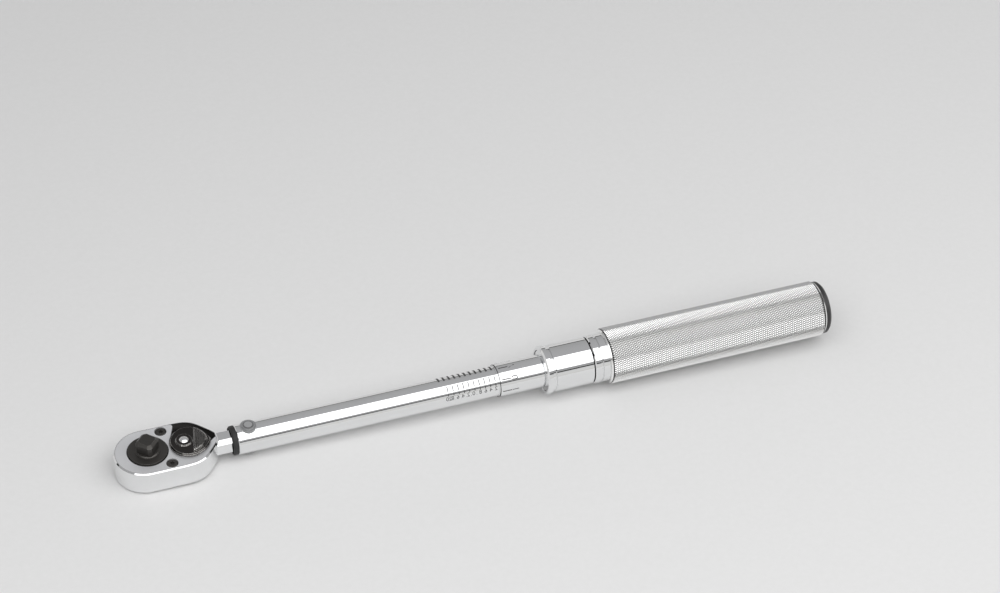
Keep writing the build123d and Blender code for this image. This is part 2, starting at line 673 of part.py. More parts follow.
def end_cap():
    """Black plastic cap pressed into the rear of the grip."""
    rear = GRIP_END_X + CAP_THICK
    return turned([(GRIP_END_X, GRIP_BORE_R), (GRIP_END_X, CAP_R), (rear - 1.2, CAP_R), (rear, CAP_R - 1.2),
                   (rear, 0), (GRIP_END_X - 0.5, 0), (GRIP_END_X - 0.5, CAP_BORE_R),
                   (GRIP_END_X - CAP_SKIRT, CAP_BORE_R), (GRIP_END_X - CAP_SKIRT, GRIP_BORE_R - 0.3),
                   (GRIP_END_X - CAP_SKIRT + 1.0, GRIP_BORE_R)])


def lock_ring():
    """Lock ring; pushed forward against its spring it frees the balls."""
    outline = [
        (LOCK_X, LOCK_COUNTERBORE_R), (LOCK_X, LOCK_FLANGE_R - 1.0), (LOCK_X + 0.8, LOCK_FLANGE_R),
        (LOCK_X + 3.0, LOCK_FLANGE_R), (LOCK_X + 3.5, LOCK_R - 0.7), (LOCK_X + 4.6, LOCK_R - 0.7),
        (LOCK_X + 5.1, LOCK_R), (LOCK_END_X - 0.5, LOCK_R), (LOCK_END_X, LOCK_R - 0.5),
        (LOCK_END_X, LOCK_COUNTERBORE_R), (LOCK_REAR_X, LOCK_COUNTERBORE_R), (LOCK_REAR_X, HUB_R + FIT),
        (LOCK_RAMP_X, HUB_R + FIT), (LOCK_RAMP_X, LOCK_BORE_R), (LOCK_SHOULDER_X, LOCK_BORE_R),
        (LOCK_SHOULDER_X, LOCK_COUNTERBORE_R),
    ]
    return turned(outline)


def lock_retainer():
    """Snap ring on the sleeve that the lock spring bears on."""
    return tube_piece(RETAINER_X, RETAINER_X + RETAINER_THICK, LOCK_COUNTERBORE_R - 0.12,
                      SLEEVE_R - 0.3, 0.2)


def lock_spring():
    """Spring that holds the lock ring back."""
    start = RETAINER_X + RETAINER_THICK
    return coil_along_x(start + 0.05, LOCK_SHOULDER_X - 0.05, LOCK_SPRING_R, LOCK_SPRING_WIRE_R, 4)


SUB_PARTS = [
    head_casing, cover_plate, cover_screws, gear_seal, lever_detent_ball, lever_detent_spring,
    drive_gear, detent_ball, detent_spring, reversing_lever, lever_shaft, pawl_plunger, pawl_spring,
    ratchet_pawl, tube, front_seal, pivot_pin, nut_pins, thread_nut, click_block, spring_plunger,
    main_spring, spring_seat, thrust_ball, load_screw, sleeve, lock_balls, grip_collar, grip,
    end_plug, end_washer, end_nut, end_cap, lock_ring, lock_retainer, lock_spring,
]

os.makedirs("parts", exist_ok=True)
for make in SUB_PARTS:
    save(make.__name__, make())
print("sub-parts:", len(SUB_PARTS))
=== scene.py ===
# %% [markdown]
# # A click torque wrench, dressed for its portrait
# The frame holds every machined part of the wrench as a solid in its true place.  Here those
# solids get their finishes, and the details that are too fine for a solid model are added: the
# diamond knurl on the grip, the graduations rolled into the tube and the sleeve, and the
# studio round them.

# %% Load the frame
import json
import math
import bmesh
import bpy
from mathutils import Matrix, Vector

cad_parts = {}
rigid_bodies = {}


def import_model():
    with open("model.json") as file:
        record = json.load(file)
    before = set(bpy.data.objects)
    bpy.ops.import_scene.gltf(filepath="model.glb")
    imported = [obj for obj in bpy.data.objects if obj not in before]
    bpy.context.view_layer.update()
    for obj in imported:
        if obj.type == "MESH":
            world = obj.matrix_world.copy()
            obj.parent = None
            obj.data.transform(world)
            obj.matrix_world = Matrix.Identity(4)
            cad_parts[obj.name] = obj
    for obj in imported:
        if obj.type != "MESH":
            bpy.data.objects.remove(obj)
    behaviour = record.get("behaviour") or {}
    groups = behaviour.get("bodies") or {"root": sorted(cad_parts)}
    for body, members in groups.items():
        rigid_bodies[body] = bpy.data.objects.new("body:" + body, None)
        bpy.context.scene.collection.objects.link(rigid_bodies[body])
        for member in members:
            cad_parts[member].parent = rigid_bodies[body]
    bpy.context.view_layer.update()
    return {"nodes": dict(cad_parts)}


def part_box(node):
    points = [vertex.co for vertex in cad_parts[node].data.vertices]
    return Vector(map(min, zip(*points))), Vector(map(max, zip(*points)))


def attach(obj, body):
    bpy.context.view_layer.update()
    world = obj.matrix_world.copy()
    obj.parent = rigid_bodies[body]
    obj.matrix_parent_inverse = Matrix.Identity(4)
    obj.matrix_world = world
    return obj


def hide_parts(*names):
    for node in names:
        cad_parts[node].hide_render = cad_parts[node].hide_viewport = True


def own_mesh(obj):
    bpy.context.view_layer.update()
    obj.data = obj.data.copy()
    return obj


for leftover in list(bpy.data.objects):
    bpy.data.objects.remove(leftover)
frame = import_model()

# %% Sizes read from the frame
MM = 0.001
sleeve_box, grip_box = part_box("sleeve"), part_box("grip")
AXIS_Z = (grip_box[0].z + grip_box[1].z) / 2          # height of the handle's own axis
TUBE_R = 7.95 * MM
SLEEVE_R = 8.75 * MM
GRIP_X0, GRIP_X1 = grip_box[0].x, grip_box[1].x
GRIP_R = (grip_box[1].z - grip_box[0].z) / 2
print(f"axis {AXIS_Z / MM:.2f} mm, grip {GRIP_X0 / MM:.1f} to {GRIP_X1 / MM:.1f} mm, R {GRIP_R / MM:.2f}")

# %% [markdown]
# ## Small helpers for node trees
# Materials and Geometry Nodes trees are both graphs.  Three helpers keep the cells short: one
# makes a node and sets its values, one makes a tree with named inputs, and one does arithmetic
# on sockets.

# %% Node helpers
def node(tree, kind, values=(), **settings):
    """Adds a node, sets its properties, and fills or links its inputs by name or number."""
    made = tree.nodes.new(kind)
    for name, value in settings.items():
        setattr(made, name, value)
    for key, value in dict(values).items():
        socket = made.inputs[key]
        if isinstance(value, bpy.types.NodeSocket):
            tree.links.new(value, socket)
        else:
            socket.default_value = value
    return made


def calc(tree, operation, *terms):
    """One Math node; each term is a number or a socket."""
    return node(tree, "ShaderNodeMath", enumerate(terms), operation=operation).outputs[0]


def vector(tree, x, y, z):
    """Joins three numbers or sockets into a vector."""
    return node(tree, "ShaderNodeCombineXYZ", enumerate((x, y, z))).outputs[0]


def socket_kind(value):
    """The socket type that suits a default value."""
    if isinstance(value, tuple):
        return "NodeSocketColor"
    if isinstance(value, int):
        return "NodeSocketInt"
    return "NodeSocketFloat"


# %% [markdown]
# ## Shared surface effects
# Several finishes on a wrench share the same few effects: bright edges, which are painted highlight
# on the chrome, the plate, the zinc and the black chrome and wear where the coating rubs on the other
# finishes, a fine grain left by grinding, and faint smudges from fingers.  Each effect is one shader
# node group, so it is described once and placed in every finish with its own strength.

# %% Shader group builder
def shader_group(name, inputs, outputs):
    """An empty shader node group with named inputs (with defaults) and float outputs."""
    group = bpy.data.node_groups.new(name, "ShaderNodeTree")
    for label, default in inputs.items():
        made = group.interface.new_socket(label, in_out="INPUT", socket_type=socket_kind(default))
        made.default_value = default
    for label in outputs:
        group.interface.new_socket(label, in_out="OUTPUT", socket_type="NodeSocketFloat")
    entry = group.nodes.new("NodeGroupInput")
    leave = group.nodes.new("NodeGroupOutput")
    return group, entry.outputs, leave.inputs


# %% Edge wear and painted edge highlight: finds edges by comparing the true normal with a rounded one
edge_group, given, result = shader_group(
    "edge_wear_and_highlight", {"Width": 0.0003, "Strength": 6.0, "Patches": 900.0}, ["Mask"])
rounded = node(edge_group, "ShaderNodeBevel", {"Radius": given["Width"]}, samples=4)
plain = node(edge_group, "ShaderNodeNewGeometry")
alike = node(edge_group, "ShaderNodeVectorMath", {0: rounded.outputs[0], 1: plain.outputs["Normal"]},
             operation="DOT_PRODUCT")
turned = calc(edge_group, "SUBTRACT", 1.0, alike.outputs["Value"])
where = node(edge_group, "ShaderNodeTexCoord").outputs["Object"]
patches = node(edge_group, "ShaderNodeTexNoise", {"Vector": where, "Scale": given["Patches"], "Detail": 3.0})
uneven = calc(edge_group, "MULTIPLY_ADD", patches.outputs["Fac"], 1.2, 0.2)
mask = calc(edge_group, "MULTIPLY", calc(edge_group, "MULTIPLY", turned, given["Strength"]), uneven)
edge_group.links.new(node(edge_group, "ShaderNodeClamp", {"Value": mask}).outputs[0], result["Mask"])
print("edge_wear_and_highlight ready")

# %% Fine grain: a directional scratch pattern, long along X and tight across it
grain_group, given, result = shader_group(
    "fine_grain", {"Scale": 4000.0, "Stretch": 0.05, "Amount": 1.0}, ["Height", "Mask"])
where = node(grain_group, "ShaderNodeTexCoord").outputs["Object"]
split = node(grain_group, "ShaderNodeSeparateXYZ", {0: where}).outputs
drawn_out = vector(grain_group, calc(grain_group, "MULTIPLY", split[0], given["Stretch"]), split[1], split[2])
hairs = node(grain_group, "ShaderNodeTexNoise", {"Vector": drawn_out, "Scale": given["Scale"], "Detail": 2.0})
level = calc(grain_group, "MULTIPLY", hairs.outputs["Fac"], given["Amount"])
grain_group.links.new(level, result["Height"])
spread = node(grain_group, "ShaderNodeMapRange", {0: hairs.outputs["Fac"], 1: 0.35, 2: 0.65, 3: 0.0, 4: 1.0})
grain_group.links.new(spread.outputs[0], result["Mask"])
print("fine_grain ready")

# %% Smudge: broad soft patches where the surface has been handled
smudge_group, given, result = shader_group("smudge", {"Scale": 60.0, "Coverage": 0.5}, ["Mask"])
where = node(smudge_group, "ShaderNodeTexCoord").outputs["Object"]
clouds = node(smudge_group, "ShaderNodeTexNoise",
              {"Vector": where, "Scale": given["Scale"], "Detail": 4.0, "Roughness": 0.6})
low = calc(smudge_group, "SUBTRACT", 0.9, calc(smudge_group, "MULTIPLY", given["Coverage"], 0.6))
soft = node(smudge_group, "ShaderNodeMapRange",
            {0: clouds.outputs["Fac"], 1: low, 2: calc(smudge_group, "ADD", low, 0.2), 3: 0.0, 4: 1.0})
smudge_group.links.new(soft.outputs[0], result["Mask"])
print("smudge ready")

# %% [markdown]
# ## The finishes
# Polished chrome is nearly a mirror, so what sells it is a trace of waviness, faint smudges and a
# painted highlight along its edges.  The cover plate is the same plating over a ground surface, with
# painted highlight on its edges too.  The drive and its screws are blackened steel, darker and duller,
# which shows bare metal where it rubs.  One function mixes these from the shared groups, and a table
# gives each finish its own values.

# %% One builder for every metal and plastic
def placed(tree, group, **values):
    """Puts a shared group into a material with this material's own values."""
    made = node(tree, "ShaderNodeGroup", node_tree=group)
    for label, value in values.items():
        made.inputs[label].default_value = value
    return made.outputs


def colour_mix(tree, factor, first, second):
    """Blends two colours by a mask."""
    made = node(tree, "ShaderNodeMix", {"Factor": factor}, data_type="RGBA")
    for socket, value in ((made.inputs[6], first), (made.inputs[7], second)):
        if isinstance(value, bpy.types.NodeSocket):
            tree.links.new(value, socket)
        else:
            socket.default_value = value
    return made.outputs[2]


def value_mix(tree, factor, first, second):
    """Blends two numbers by a mask."""
    return node(tree, "ShaderNodeMapRange", {0: factor, 1: 0.0, 2: 1.0, 3: first, 4: second}).outputs[0]


PATCH_SCALE = 25.0         # broad tone patches, per metre


def finish_material(name, base, wear_and_highlight, metal=1.0, rough=(0.06, 0.12), edge=(0.25, 4.0), grain=(3000.0, 0.05),
                    bump=0.02, smudge=(60.0, 0.45), worn_rough=0.12, second=None, hair_tint=0.12):
    """A finish with bright edges, grain and smudges; the edge colour is painted highlight on some finishes and
    wear on others.  rough is (clean, smudged); edge is (mm, strength).
    """
    made = bpy.data.materials.new(name)
    made.use_nodes = True
    tree = made.node_tree
    shader = tree.nodes["Principled BSDF"]
    wear_and_highlight_mask = placed(tree, edge_group, Width=edge[0] * MM, Strength=edge[1])["Mask"]
    hair = placed(tree, grain_group, Scale=grain[0], Stretch=grain[1])
    touch = placed(tree, smudge_group, Scale=smudge[0], Coverage=smudge[1])["Mask"]
    where = node(tree, "ShaderNodeTexCoord").outputs["Object"]
    cloud = node(tree, "ShaderNodeTexNoise", {"Vector": where, "Scale": PATCH_SCALE, "Detail": 3.0})
    cloudy = node(tree, "ShaderNodeMapRange", {0: cloud.outputs["Fac"], 1: 0.35, 2: 0.65}).outputs[0]
    body = colour_mix(tree, cloudy, base, second or tuple(0.93 * c for c in base[:3]) + (1.0,))
    grained = colour_mix(tree, calc(tree, "MULTIPLY", hair["Mask"], hair_tint), body, wear_and_highlight)
    # Edge colour: painted highlight on the chrome, plate, zinc and black chrome; wear on the other finishes.
    tree.links.new(colour_mix(tree, wear_and_highlight_mask, grained, wear_and_highlight), shader.inputs["Base Color"])
    handled = value_mix(tree, touch, rough[0], rough[1])
    grained_rough = calc(tree, "MULTIPLY_ADD", hair["Mask"], 0.25 * rough[0], handled)
    tree.links.new(value_mix(tree, wear_and_highlight_mask, grained_rough, worn_rough), shader.inputs["Roughness"])
    shader.inputs["Metallic"].default_value = metal
    relief = node(tree, "ShaderNodeBump", {"Height": hair["Height"], "Strength": bump, "Distance": 0.00005})
    tree.links.new(relief.outputs[0], shader.inputs["Normal"])
    return made


# %% The table of finishes, one for each slot of the record
GREY = lambda r, g=None, b=None: (r, r if g is None else g, r if b is None else b, 1.0)
FINISHES = {
    # The second colour is the edge colour: painted highlight on the chrome, satin plate, black chrome and zinc;
    # bare steel where the black oxide rubs, and wear on the others.
    "chrome": finish_material("finish_chrome", GREY(0.86, 0.865, 0.87), GREY(0.95), rough=(0.035, 0.075),
                              edge=(0.2, 2.0), grain=(2500.0, 0.1), bump=0.012, smudge=(45.0, 0.4),
                              worn_rough=0.08, second=GREY(0.83, 0.835, 0.84)),
    "satin_plate": finish_material("finish_satin_plate", GREY(0.80, 0.805, 0.82), GREY(0.95), metal=0.65,
                                   rough=(0.36, 0.42), edge=(0.3, 5.0), grain=(9000.0, 0.6), bump=0.1,
                                   smudge=(80.0, 0.5), worn_rough=0.16, second=GREY(0.72, 0.725, 0.74)),
    "black_oxide": finish_material("finish_black_oxide", GREY(0.06, 0.058, 0.054), GREY(0.32, 0.31, 0.30),
                                   metal=0.85, rough=(0.36, 0.46), edge=(0.25, 3.0),
                                   grain=(6000.0, 0.8), bump=0.12, smudge=(120.0, 0.5),
                                   worn_rough=0.28, second=GREY(0.085, 0.08, 0.075), hair_tint=0.03),
    # Painted highlight: the black chrome's edges are coloured bright in a wide band.
    "black_chrome": finish_material("finish_black_chrome", GREY(0.045, 0.042, 0.04), GREY(0.75, 0.74, 0.72),
                                    rough=(0.1, 0.18), edge=(0.45, 9.0), grain=(3500.0, 0.4), bump=0.03,
                                    smudge=(90.0, 0.5), worn_rough=0.12, second=GREY(0.06, 0.056, 0.053),
                                    hair_tint=0.015),
    "bare_steel": finish_material("finish_bare_steel", GREY(0.46, 0.455, 0.45), GREY(0.7), rough=(0.26, 0.36),
                                  edge=(0.15, 3.0), grain=(5000.0, 0.3), bump=0.08),
    "zinc": finish_material("finish_zinc", GREY(0.42, 0.425, 0.43), GREY(0.85), metal=0.75, rough=(0.36, 0.46),
                            edge=(0.3, 6.0), grain=(7000.0, 0.9), bump=0.15, second=GREY(0.34, 0.345, 0.35)),
    "rubber_black": finish_material("finish_rubber", GREY(0.02), GREY(0.06), metal=0.0, rough=(0.55, 0.7),
                                    edge=(0.2, 2.0), grain=(4000.0, 1.0), bump=0.2, worn_rough=0.6,
                                    hair_tint=0.05),
    "plastic_black": finish_material("finish_plastic", GREY(0.022), GREY(0.07), metal=0.0, rough=(0.38, 0.5),
                                     edge=(0.3, 2.0), grain=(5000.0, 1.0), bump=0.25, worn_rough=0.4),
}
print("finishes:", ", ".join(FINISHES))

# %% [markdown]
# The casing is chrome all over, and the machined floors inside, where the pawl pocket shows between
# the cover plate and the lever, get painted shade: they are coloured near black and made rougher.
# Height and direction are enough to find them: the casing's other faces that look straight up from
# that low lie under the plate or inside the tube, out of sight.

# %% The casing's finish: chrome, with painted shade on the machined floors inside
def casing_finish():
    """A copy of the chrome with painted shade on its inner floors."""
    made = FINISHES["chrome"].copy()
    made.name = "finish_casing"
    tree = made.node_tree
    shader = tree.nodes["Principled BSDF"]
    where = node(tree, "ShaderNodeTexCoord").outputs["Object"]
    part = node(tree, "ShaderNodeSeparateXYZ", {0: where}).outputs
    normal = node(tree, "ShaderNodeNewGeometry").outputs["Normal"]
    facing = node(tree, "ShaderNodeSeparateXYZ", {0: normal}).outputs
    below = calc(tree, "LESS_THAN", part[2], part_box("cover_plate")[0].z + 0.1 * MM)
    painted_shade_floor = calc(tree, "MULTIPLY", below, calc(tree, "GREATER_THAN", facing[2], 0.9))
    # Painted shade: the inner floors are coloured near black and made rougher.
    for label, blend, painted_shade_and_rough in (("Base Color", colour_mix, GREY(0.02, 0.019, 0.018)),
                               ("Roughness", value_mix, 0.4)):
        was = shader.inputs[label].links[0].from_socket
        tree.links.new(blend(tree, painted_shade_floor, was, painted_shade_and_rough), shader.inputs[label])
    return made


CASING = casing_finish()


# %% The pivot pin's finish: a painted shade ring stands for a step on its head, with a painted highlight in the middle
STEP_SHADE_SHARE = 0.58          # radius of the ring, as a share of the pin's head
HIGHLIGHT_SHARE = 0.55        # radius of the lighter middle


def pin_finish():
    """The zinc finish with a painted shade ring about the pin's own axis, standing for a step, and a painted
    highlight in the middle.
    """
    made = FINISHES["zinc"].copy()
    made.name = "finish_pin"
    tree = made.node_tree
    shader = tree.nodes["Principled BSDF"]
    low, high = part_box("pivot_pin")
    head_r = (high.x - low.x) / 2
    where = node(tree, "ShaderNodeTexCoord").outputs["Object"]
    part = node(tree, "ShaderNodeSeparateXYZ", {0: where}).outputs
    across = calc(tree, "SUBTRACT", part[0], (low.x + high.x) / 2)
    away = calc(tree, "SQRT", calc(tree, "ADD", calc(tree, "MULTIPLY", across, across),
                                   calc(tree, "MULTIPLY", part[1], part[1])))
    off_step_shade = calc(tree, "ABSOLUTE", calc(tree, "SUBTRACT", away, STEP_SHADE_SHARE * head_r))
    painted_step_shade = node(tree, "ShaderNodeMapRange", {0: off_step_shade, 1: 0.22 * MM, 2: 0.45 * MM, 3: 1.0, 4: 0.0}).outputs[0]
    painted_highlight_middle = calc(tree, "LESS_THAN", away, HIGHLIGHT_SHARE * head_r)
    was = shader.inputs["Base Color"].links[0].from_socket
    # Painted highlight on the middle, and a painted shade ring standing for a step on the head.
    with_painted_highlight = colour_mix(tree, calc(tree, "MULTIPLY", painted_highlight_middle, 0.5), was, GREY(0.66, 0.665, 0.67))
    tree.links.new(colour_mix(tree, calc(tree, "MULTIPLY", painted_step_shade, 0.7), with_painted_highlight, GREY(0.14)),
                   shader.inputs["Base Color"])
    return made


PIN = pin_finish()
OWN_FINISH = {"head_casing": CASING, "pivot_pin": PIN}

# %% Give every solid of the frame its finish
for name, solid in frame["nodes"].items():
    for spot in solid.material_slots:
        spot.material = OWN_FINISH.get(name) or FINISHES[spot.material.name.split(".")[0]]
print("finished", len(frame["nodes"]), "solids")

# %% [markdown]
# ## The knurled grip
# Knurling rolls two families of slanting grooves into the grip, one left-handed and one
# right-handed, and leaves rows of small pointed diamonds.  That shape follows a rule, so Geometry
# Nodes make it from a flat grid: on a chequerboard of points, the odd ones stay high and become
# the tips, the even ones sink and become groove crossings.  The sheet is then rolled up, and its
# end rows are folded in to make the bevels, the end faces and the bore.

# %% Geometry Nodes helpers
def geometry_tree(name, inputs):
    """An empty Geometry Nodes tree with a Material input and the named inputs given."""
    tree = bpy.data.node_groups.new(name, "GeometryNodeTree")
    tree.interface.new_socket("Geometry", in_out="OUTPUT", socket_type="NodeSocketGeometry")
    for label, default in inputs.items():
        made = tree.interface.new_socket(label, in_out="INPUT", socket_type=socket_kind(default))
        made.default_value = default
    tree.interface.new_socket("Material", in_out="INPUT", socket_type="NodeSocketMaterial")
    return tree, tree.nodes.new("NodeGroupInput").outputs, tree.nodes.new("NodeGroupOutput").inputs[0]


def close_tree(tree, mesh, given, leave):
    """Ends a tree the way every tree here ends: Realize Instances, then Set Material."""
    real = node(tree, "GeometryNodeRealizeInstances", {0: mesh}).outputs[0]
    made = node(tree, "GeometryNodeSetMaterial", {"Geometry": real, "Material": given["Material"]})
    tree.links.new(made.outputs[0], leave)


def choose(tree, test, if_false, if_true):
    """A float Switch: if_true where test holds."""
    made = node(tree, "GeometryNodeSwitch", {0: test}, input_type="FLOAT")
    for socket, value in ((made.inputs[1], if_false), (made.inputs[2], if_true)):
        if isinstance(value, bpy.types.NodeSocket):
            tree.links.new(value, socket)
        else:
            socket.default_value = value
    return made.outputs[0]


def less(tree, a, b):
    """True where a is less than b."""
    return node(tree, "FunctionNodeCompare", {0: a, 1: b}, data_type="FLOAT", operation="LESS_THAN").outputs[0]


def run_tree(tree, name, material, **values):
    """Runs a tree once, turns its result into a plain mesh object, and drops the modifier."""
    host = bpy.data.objects.new(name + "_host", bpy.data.meshes.new(name + "_host"))
    bpy.context.scene.collection.objects.link(host)
    step = host.modifiers.new("make", "NODES")
    step.node_group = tree
    for item in tree.interface.items_tree:
        if item.item_type == "SOCKET" and item.in_out == "INPUT":
            value = material if item.name == "Material" else values.get(item.name)
            if value is not None:
                step[item.identifier] = value
    graph = bpy.context.evaluated_depsgraph_get()
    mesh = bpy.data.meshes.new_from_object(host.evaluated_get(graph), depsgraph=graph)
    bpy.data.objects.remove(host)
    made = bpy.data.objects.new(name, mesh)
    mesh.name = name
    bpy.context.scene.collection.objects.link(made)
    return made


# %% The knurl tree
KNURL_AROUND = 78          # grooves of each hand round the grip
KNURL_PITCH = 2.1 * MM     # from one diamond to the next along the grip
KNURL_DEPTH = 0.45 * MM
END_BEVEL = 0.9 * MM
GRIP_BORE = 12.0 * MM

knurl_tree, given, leave = geometry_tree("diamond_knurl", {
    "Start": 0.0, "Length": 0.1, "Crest radius": 0.01, "Depth": 0.0004, "Bore radius": 0.008,
    "End bevel": 0.001, "Around": 60, "Rows": 101, "Axis height": 0.0})
kt = knurl_tree
columns = calc(kt, "MULTIPLY", given["Around"], 2.0)
rows = calc(kt, "ADD", given["Rows"], 5.0)
sheet = node(kt, "GeometryNodeMeshGrid", {"Size X": 1.0, "Size Y": 1.0, "Vertices X": rows,
                                          "Vertices Y": calc(kt, "ADD", columns, 1.0)})
place = node(kt, "GeometryNodeInputPosition").outputs[0]
flat = node(kt, "ShaderNodeSeparateXYZ", {0: place}).outputs
row = calc(kt, "ROUND", calc(kt, "MULTIPLY", calc(kt, "ADD", flat[0], 0.5), calc(kt, "SUBTRACT", rows, 1.0)))
column = calc(kt, "ROUND", calc(kt, "MULTIPLY", calc(kt, "ADD", flat[1], 0.5), columns))
last = calc(kt, "ADD", given["Rows"], 1.0)            # the last row of the knurl itself
high = calc(kt, "FLOORED_MODULO", calc(kt, "ADD", row, column), 2.0)
valley = calc(kt, "SUBTRACT", given["Crest radius"], given["Depth"])
face_radius = calc(kt, "SUBTRACT", given["Crest radius"], given["End bevel"])
knurled = calc(kt, "MULTIPLY_ADD", high, given["Depth"], valley)
before_first, at_first = less(kt, row, 1.5), less(kt, row, 2.5)
up_to_last, up_to_face = less(kt, row, calc(kt, "ADD", last, 0.5)), less(kt, row, calc(kt, "ADD", last, 1.5))
before_last = less(kt, row, calc(kt, "SUBTRACT", last, 0.5))
radius = choose(kt, before_last, valley, knurled)
radius = choose(kt, up_to_last, choose(kt, up_to_face, given["Bore radius"], face_radius), radius)
radius = choose(kt, at_first, radius, valley)
radius = choose(kt, before_first, radius, face_radius)
radius = choose(kt, less(kt, row, 0.5), radius, given["Bore radius"])
run = calc(kt, "SUBTRACT", given["Length"], calc(kt, "MULTIPLY", given["End bevel"], 2.0))
share = calc(kt, "DIVIDE", calc(kt, "SUBTRACT", row, 2.0), calc(kt, "SUBTRACT", given["Rows"], 1.0))
along = calc(kt, "MULTIPLY_ADD", share, run, given["End bevel"])
along = choose(kt, up_to_last, given["Length"], along)
along = choose(kt, before_first, along, 0.0)
along = choose(kt, less(kt, row, calc(kt, "ADD", last, 2.5)), 0.0, along)
angle = calc(kt, "MULTIPLY", calc(kt, "DIVIDE", column, columns), -2 * math.pi)
rolled = vector(kt, calc(kt, "ADD", along, given["Start"]),
                calc(kt, "MULTIPLY", radius, calc(kt, "COSINE", angle)),
                calc(kt, "MULTIPLY_ADD", radius, calc(kt, "SINE", angle), given["Axis height"]))
formed = node(kt, "GeometryNodeSetPosition", {"Geometry": sheet.outputs["Mesh"], "Position": rolled}).outputs[0]
closed = node(kt, "GeometryNodeMergeByDistance", {"Geometry": formed, "Distance": 1e-6}).outputs[0]
cut = node(kt, "GeometryNodeTriangulate", {"Mesh": closed})
cut.quad_method = "SHORTEST_DIAGONAL"
close_tree(kt, cut.outputs[0], given, leave)
print("knurl tree has", len(kt.nodes), "nodes")

# %% The knurl's finish: bright tips, painted shade in the grooves, by distance from the axis
def knurl_finish():
    """Chrome with painted shade in its grooves: dark and rough low down, bright at the tips."""
    made = bpy.data.materials.new("finish_knurl")
    made.use_nodes = True
    tree = made.node_tree
    shader = tree.nodes["Principled BSDF"]
    where = node(tree, "ShaderNodeTexCoord").outputs["Object"]
    part = node(tree, "ShaderNodeSeparateXYZ", {0: where}).outputs
    up = calc(tree, "SUBTRACT", part[2], AXIS_Z)
    away = calc(tree, "SQRT", calc(tree, "ADD", calc(tree, "MULTIPLY", part[1], part[1]),
                                   calc(tree, "MULTIPLY", up, up)))
    crest = node(tree, "ShaderNodeMapRange",
                 {0: away, 1: GRIP_R - 0.97 * KNURL_DEPTH, 2: GRIP_R - 0.64 * KNURL_DEPTH})
    end_face = calc(tree, "LESS_THAN", away, GRIP_R - 1.15 * KNURL_DEPTH)
    unshaded_tip = calc(tree, "MAXIMUM", crest.outputs[0], end_face)
    touch = placed(tree, smudge_group, Scale=40.0, Coverage=0.5)["Mask"]
    grain = placed(tree, grain_group, Scale=6000.0, Stretch=0.5)
    # Painted shade: the grooves are coloured near black; the tips stay bright chrome.
    metal = colour_mix(tree, unshaded_tip, GREY(0.012, 0.012, 0.011), GREY(0.97, 0.97, 0.965))
    tree.links.new(colour_mix(tree, calc(tree, "MULTIPLY", touch, 0.06), metal, GREY(0.7, 0.7, 0.69)),
                   shader.inputs["Base Color"])
    tree.links.new(calc(tree, "MULTIPLY_ADD", touch, 0.06, value_mix(tree, unshaded_tip, 0.45, 0.16)),
                   shader.inputs["Roughness"])
    relief = node(tree, "ShaderNodeBump", {"Height": grain["Height"], "Strength": 0.05, "Distance": 0.00005})
    tree.links.new(relief.outputs[0], shader.inputs["Normal"])
    shader.inputs["Metallic"].default_value = 1.0
    return made


KNURL = knurl_finish()

# %% Run the knurl tree
grip_length = GRIP_X1 - GRIP_X0
knurl_rows = 2 * round((grip_length - 2 * END_BEVEL) / KNURL_PITCH) + 1
knurled_grip = run_tree(knurl_tree, "knurled_grip", KNURL, **{
    "Start": GRIP_X0, "Length": grip_length, "Crest radius": GRIP_R, "Depth": KNURL_DEPTH,
    "Bore radius": GRIP_BORE, "End bevel": END_BEVEL, "Around": KNURL_AROUND, "Rows": knurl_rows,
    "Axis height": AXIS_Z})
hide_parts("grip")
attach(knurled_grip, "handle")
print("knurled grip:", len(knurled_grip.data.polygons), "triangles,", knurl_rows, "rows")

# %% [markdown]
# ## Graduations
# A click wrench is set by reading two scales: a row of marks along the tube, uncovered as the
# sleeve moves back, and a ring of marks round the front of the sleeve.  They are fine lines filled
# with black, a repeated shape, so Geometry Nodes lay small bars along a line and bend them round
# the barrel.  The bars stand a hair proud of the metal, as the paint does.

# %% The tree that lays out marks on a barrel
mark_tree, given, leave = geometry_tree("barrel_marks", {
    "Count": 10, "Start": 0.16, "Pitch": 0.003, "Turn": 0.0, "Width": 0.0003, "Arc length": 0.002,
    "Barrel radius": 0.008, "Proud": 0.00002, "Axis height": 0.0, "Cuts": 9})
mt = mark_tree
line = node(mt, "GeometryNodeMeshLine", {
    "Count": given["Count"], "Start Location": vector(mt, given["Start"], 0.0, 0.0),
    "Offset": vector(mt, given["Pitch"], 0.0, 0.0)})
bar = node(mt, "GeometryNodeMeshCube", {
    "Size": vector(mt, given["Width"], given["Arc length"], calc(mt, "MULTIPLY", given["Proud"], 2.0)),
    "Vertices X": 2, "Vertices Y": given["Cuts"], "Vertices Z": 2})
spread_bars = node(mt, "GeometryNodeInstanceOnPoints", {"Points": line.outputs[0], "Instance": bar.outputs[0]})
laid = node(mt, "GeometryNodeRealizeInstances", {0: spread_bars.outputs[0]}).outputs[0]
flat = node(mt, "ShaderNodeSeparateXYZ", {0: node(mt, "GeometryNodeInputPosition").outputs[0]}).outputs
bend = calc(mt, "ADD", calc(mt, "DIVIDE", flat[1], given["Barrel radius"]), given["Turn"])
reach = calc(mt, "ADD", given["Barrel radius"], flat[2])
wrapped = vector(mt, flat[0], calc(mt, "MULTIPLY", reach, calc(mt, "COSINE", bend)),
                 calc(mt, "MULTIPLY_ADD", reach, calc(mt, "SINE", bend), given["Axis height"]))
bent = node(mt, "GeometryNodeSetPosition", {"Geometry": laid, "Position": wrapped}).outputs[0]
close_tree(mt, bent, given, leave)
print("mark tree has", len(mt.nodes), "nodes")

